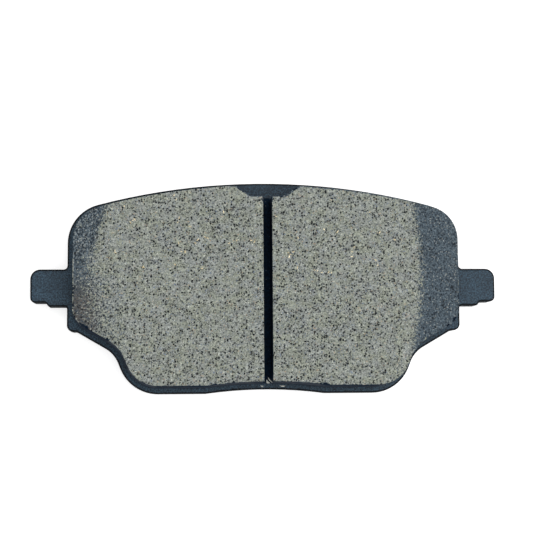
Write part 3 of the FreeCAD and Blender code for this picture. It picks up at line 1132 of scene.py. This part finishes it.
@dataclass
class BrassSlivers:
    """Brass slivers in the ground face, in loose clusters of up to so many.

    They lie only where the face is bare, not in deep pits and clear of its edges.
    """

    face: FrictionBlock
    count: int = 52
    most: int = 3
    border: float = 2.0
    surely_bare: float = -0.8
    spread: float = 0.5
    length: Pair = (0.45, 0.9)
    width: float = 0.24
    depth: float = 0.045
    deepest_face: float = 0.12
    edge_clearance: float = 0.7
    edge_drop: float = 0.1
    seed: int = 11

    def __post_init__(self) -> None:
        """Make the block's CAD shape ready to be probed."""
        mesh = frame["nodes"][self.face.node].data
        corners = [v.co.copy() for v in mesh.vertices]
        self.block = BVHTree.FromPolygons(corners, [tuple(p.vertices) for p in mesh.polygons])

    def build(self) -> None:
        """Scatter the slivers and join them."""
        random = np.random.default_rng(self.seed)
        pattern = Bench.sliver("brass_sliver", flat=0.35, bow=0.35)
        made = []
        low, high = self.face.low, self.face.high
        while len(made) < self.count:
            centre = random.uniform(low[:2] + self.border, high[:2] - self.border)
            for _ in range(random.integers(1, self.most + 1)):
                x, y = centre + random.normal(0, self.spread, 2)
                here = np.array([x]), np.array([y])
                bare = self.face.skin(*here)[0] < self.surely_bare
                drop = self.face.high[2] - self.face.look_up("height", *here)[0]
                turn = random.uniform(0, math.pi)
                size = random.uniform(*self.length)
                if not bare or drop > self.deepest_face or self.near_edge(x, y):
                    continue
                copy = Bench.another(pattern)
                copy.scale = (size, self.width, self.width)
                copy.rotation_euler = (0, 0, turn)
                copy.location = (x * MM, y * MM, (high[2] - self.depth) * MM)
                made.append(copy)
        bpy.data.objects.remove(pattern)
        joined = Bench.join(made, "brass_slivers")
        Bench.dress(joined, Slot.COMPOUND, BRASS.make())

    def near_edge(self, x: float, y: float) -> bool:
        """Tell whether a place is off the ground face or close to its edge."""
        reach = self.edge_clearance
        for dx, dy in ((reach, 0), (-reach, 0), (0, reach), (0, -reach)):
            start = Vector((x + dx, y + dy, self.face.high[2] + 1)) * MM
            hit = self.block.ray_cast(start, Vector((0, 0, -1)))[0]
            if hit is None or hit.z < (self.face.high[2] - self.edge_drop) * MM:
                return True
        return False


@dataclass
class SlotFibres:
    """Pale fibres and crumbs that hang at the slot's lower mouth.

    Each strand has its two ends, from the block's inner edge and face, and its width.
    """

    face: FrictionBlock
    strands: tuple[tuple[Sequence[float], Sequence[float], float], ...] = (
        ((-0.25, 2.2, -0.9), (0.75, 1.0, -1.5), 0.24),
        ((-0.6, 1.5, -1.6), (0.15, 0.8, -2.0), 0.5),
        ((-1.9, 0.3, -0.3), (-1.2, 0.15, -0.7), 0.3),
        ((2.4, 0.25, -0.3), (3.7, 0.2, -0.7), 0.26),
    )

    def build(self) -> None:
        """Model the strands and join them."""
        pattern = Bench.sliver("slot_fibre", flat=0.7, bow=0.5)
        corner = Vector((0, self.face.low[1], self.face.high[2]))
        made = []
        for start, end, width in self.strands:
            start, end = corner + Vector(start), corner + Vector(end)
            along = end - start
            copy = Bench.another(pattern)
            copy.scale = (along.length, width, width)
            copy.rotation_euler = along.to_track_quat("X", "Z").to_euler()
            copy.location = (start + end) / 2 * MM
            made.append(copy)
        bpy.data.objects.remove(pattern)
        joined = Bench.join(made, "slot_fibres")
        Bench.dress(joined, Slot.COMPOUND, FIBRE.make())


# --- mould flash
@dataclass
class MouldFlash:
    """The thin, uneven flash left on the plate all round the block's foot. Behind the notch and
    where the slot meets it, it is widened into a dark sheet that stands for painted shade.

    Its outline is taken a little above the film, and it runs in under the foot by its inset.
    """

    node: str = "underlayer"
    film: str = "bond_film"
    plate: str = "backing_plate"
    cut_above: float = 0.05
    thickness: float = 0.12
    spacing: float = 0.25
    inset: float = 0.3
    least: float = 0.05
    most: float = 0.55
    outer_edge: float = 17.0
    notch_half: float = 8.0
    # Painted shade: widening of the dark flash behind the notch, and its width where the slot
    # meets the notch
    notch_shade_widening: float = 1.7
    slot_half: float = 1.4
    slot_end_shade_width: float = 0.85
    waves: tuple[tuple[int, float], ...] = ((4, 0.6), (1, 0.4))
    seed: int = 5

    def outline(self, height: float) -> Array:
        """Find the foot's outline, point by point at an even spacing.

        Args:
            height: Height of the section.

        Returns:
            One row of x and y for each point, in order round the block.
        """
        blank = Bench.copy_node(self.node, "foot")
        with Bench.editing(blank):
            plane = {"plane_co": (0, 0, height * MM), "plane_no": (0, 0, 1)}
            bpy.ops.mesh.bisect(clear_inner=True, clear_outer=True, **plane)
        corners = Bench.points(blank)[:, :2]
        after: dict[int, list[int]] = {}
        for edge in blank.data.edges:
            a, b = edge.vertices
            after.setdefault(a, []).append(b)
            after.setdefault(b, []).append(a)
        order = [0]
        while len(order) < len(corners):
            onward = [v for v in after[order[-1]] if v not in order[-2:] and v != order[0]]
            if not onward:
                break
            order.append(onward[0])
        bpy.data.objects.remove(blank)
        ring = corners[order + [0]]
        along = np.r_[0, np.cumsum(np.hypot(*np.diff(ring, axis=0).T))]
        places = np.linspace(0, along[-1], int(along[-1] / self.spacing), endpoint=False)
        return np.column_stack([np.interp(places, along, ring[:, k]) for k in (0, 1)])

    def widths(self, ring: Array) -> Array:
        """Give how far the flash runs out at each point of the outline.

        Args:
            ring: The outline.

        Returns:
            One width for each point.
        """
        random = np.random.default_rng(self.seed)
        count = len(ring)
        wave = np.zeros(count)
        for step, share in self.waves:
            knots = random.uniform(-1, 1, count // step + 1)
            wave += share * np.interp(np.arange(count) / step, np.arange(len(knots)), knots)
        across, outer = np.abs(ring[:, 0]), ring[:, 1] > self.outer_edge
        # Painted shade: the flash is widened behind the notch and where the slot meets it
        share = np.where((across < self.notch_half) & outer, self.notch_shade_widening, 1.0)
        width = self.least + share * (self.most - self.least) * np.clip(wave, 0, 1)
        return np.where((across < self.slot_half) & outer, self.slot_end_shade_width, width)

    def build(self) -> None:
        """Model the flash as a closed ring."""
        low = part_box(self.plate)[1][2] / MM
        top = low + self.thickness
        ring = self.outline(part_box(self.film)[1][2] / MM + self.cut_above)
        side = np.roll(ring, -1, axis=0) - np.roll(ring, 1, axis=0)
        side /= np.hypot(*side.T)[:, None]
        out = np.column_stack([side[:, 1], -side[:, 0]])
        if (out * ring).sum() < 0:
            out = -out
        inner = ring - out * self.inset
        outer = ring + out * self.widths(ring)[:, None]
        rows = ((inner, low), (outer, low), (outer - out * self.least / 2, top), (inner, top))
        mesh = bmesh.new()
        loops = []
        for places, height in rows:
            loops.append([mesh.verts.new((x * MM, y * MM, height * MM)) for x, y in places])
        for first, second in zip(loops, loops[1:] + loops[:1]):
            for k in range(len(ring)):
                after = (k + 1) % len(ring)
                mesh.faces.new((first[k], first[after], second[after], second[k]))
        bmesh.ops.recalc_face_normals(mesh, faces=mesh.faces)
        data = bpy.data.meshes.new("mould_flash")
        mesh.to_mesh(data)
        mesh.free()
        made = bpy.data.objects.new("mould_flash", data)
        bpy.context.collection.objects.link(made)
        Bench.dress(made, Slot.UNDERLAYER, MouldSkin("flash_skin").make())


# --- kept CAD nodes
@dataclass
class BackingPlate:
    """The blanked steel plate, kept as packed."""

    node: str = "backing_plate"

    def dress(self) -> None:
        """Give the plate its powder coat."""
        Bench.dress(frame["nodes"][self.node], Slot.COAT, PowderCoat().make(), ride=False)


@dataclass
class MouldedBase:
    """The bond film and the underlayer between the plate and the block."""

    def dress(self) -> None:
        """Give both layers their finishes."""
        Bench.dress(frame["nodes"]["bond_film"], Slot.FILM, BOND_FILM.make(), ride=False)
        layer = MouldSkin("underlayer_skin", flecks=0.8)
        Bench.dress(frame["nodes"]["underlayer"], Slot.UNDERLAYER, layer.make(), ride=False)


@dataclass
class NoiseShim:
    """The layered shim glued to the plate's back, kept as packed."""

    def dress(self) -> None:
        """Give each layer its finish."""
        rubber = SHIM_RUBBER.make()
        for node, slot, finish in (
            ("shim_adhesive", Slot.ADHESIVE, SHIM_GLUE.make()),
            ("shim_inner_rubber", Slot.RUBBER, rubber),
            ("shim_steel", Slot.STEEL, SHIM_STEEL.make()),
            ("shim_outer_rubber", Slot.RUBBER, rubber),
        ):
            Bench.dress(frame["nodes"][node], slot, finish, ride=False)


# --- studio
@dataclass
class Studio:
    """Plain pale floor, soft light and the camera.

    Angles are in degrees, and the floor, the lamp and the camera's clipping in metres.
    """

    turn: float = 3.9
    lift: float = 3.845
    roll: float = -0.416
    distance: float = 341.6
    lens: float = 98.56
    shift: Pair = (0.0060, 0.0434)
    aim: Triple = (0.0, 0.0, 0.9)
    clip: Pair = (0.01, 20.0)
    floor_size: float = 6.0
    floor_dark: Colour = tone(230, 230, 230)
    floor_pale: Colour = tone(236, 236, 236)
    floor_glow: float = 0.64
    sky: float = 0.4
    lamp_energy: float = 5.8
    lamp_size: float = 0.8
    lamp_at: Triple = (0.22, 0.05, 0.91)

    def floor(self) -> None:
        """Lay the floor under the pad."""
        Bench.clear()
        bpy.ops.mesh.primitive_plane_add(size=self.floor_size, location=(0, 0, 0))
        made = Bench.named("floor")
        graph = Graph("pale_floor", (0.02, 0.02, 0.02))
        tint = graph.noise(0.1)
        colour = graph.ramp(tint, [(0.3, self.floor_dark), (0.7, self.floor_pale)])
        made.data.materials.append(
            graph.surface(
                Base_Color=colour.outputs[0],
                Roughness=0.9,
                Emission_Color=(1, 1, 1, 1),
                Emission_Strength=self.floor_glow,
            )
        )

    def lights(self) -> None:
        """Hang one large soft lamp in a pale room."""
        world = bpy.data.worlds.new("room")
        world.use_nodes = True
        light = world.node_tree.nodes["Background"].inputs
        light["Color"].default_value = (1, 1, 1, 1)
        light["Strength"].default_value = self.sky
        bpy.context.scene.world = world
        lamp = bpy.data.lights.new("soft_lamp", "AREA")
        lamp.shape = "SQUARE"
        lamp.size = self.lamp_size
        lamp.energy = self.lamp_energy
        hung = bpy.data.objects.new("soft_lamp", lamp)
        hung.location = self.lamp_at
        hung.rotation_euler = Vector(hung.location).to_track_quat("Z", "Y").to_euler()
        bpy.context.collection.objects.link(hung)

    def camera(self) -> None:
        """Set the camera above the friction face, a little to the left and below."""
        turn, lift, roll = (math.radians(v) for v in (self.turn, self.lift, self.roll))
        level = math.cos(lift)
        back = Vector((-math.sin(turn) * level, -math.sin(lift), math.cos(turn) * level))
        right = Vector((0, 1, 0)).cross(back).normalized()
        up = back.cross(right)
        across = right * math.cos(roll) + up * math.sin(roll)
        above = up * math.cos(roll) - right * math.sin(roll)
        data = bpy.data.cameras.new("camera")
        data.lens = self.lens
        data.shift_x, data.shift_y = self.shift
        data.clip_start, data.clip_end = self.clip
        made = bpy.data.objects.new("camera", data)
        turned = Matrix((across, above, back)).transposed().to_4x4()
        turned.translation = Vector(self.aim) * MM + back * self.distance * MM
        made.matrix_world = turned
        bpy.context.collection.objects.link(made)
        bpy.context.scene.camera = made

    def build(self) -> None:
        """Set up the whole studio."""
        self.floor()
        self.lights()
        self.camera()
        bpy.context.scene.view_settings.view_transform = "Standard"


def main() -> None:
    """Build every sub-assembly in order and report each piece."""
    logging.basicConfig(level=logging.INFO, format="%(name)s: %(message)s")
    Studio().build()
    BackingPlate().dress()
    MouldedBase().dress()
    NoiseShim().dress()
    block = FrictionBlock()
    block.build()
    BrassSlivers(block).build()
    SlotFibres(block).build()
    MouldFlash().build()


if __name__ == "__main__":
    main()
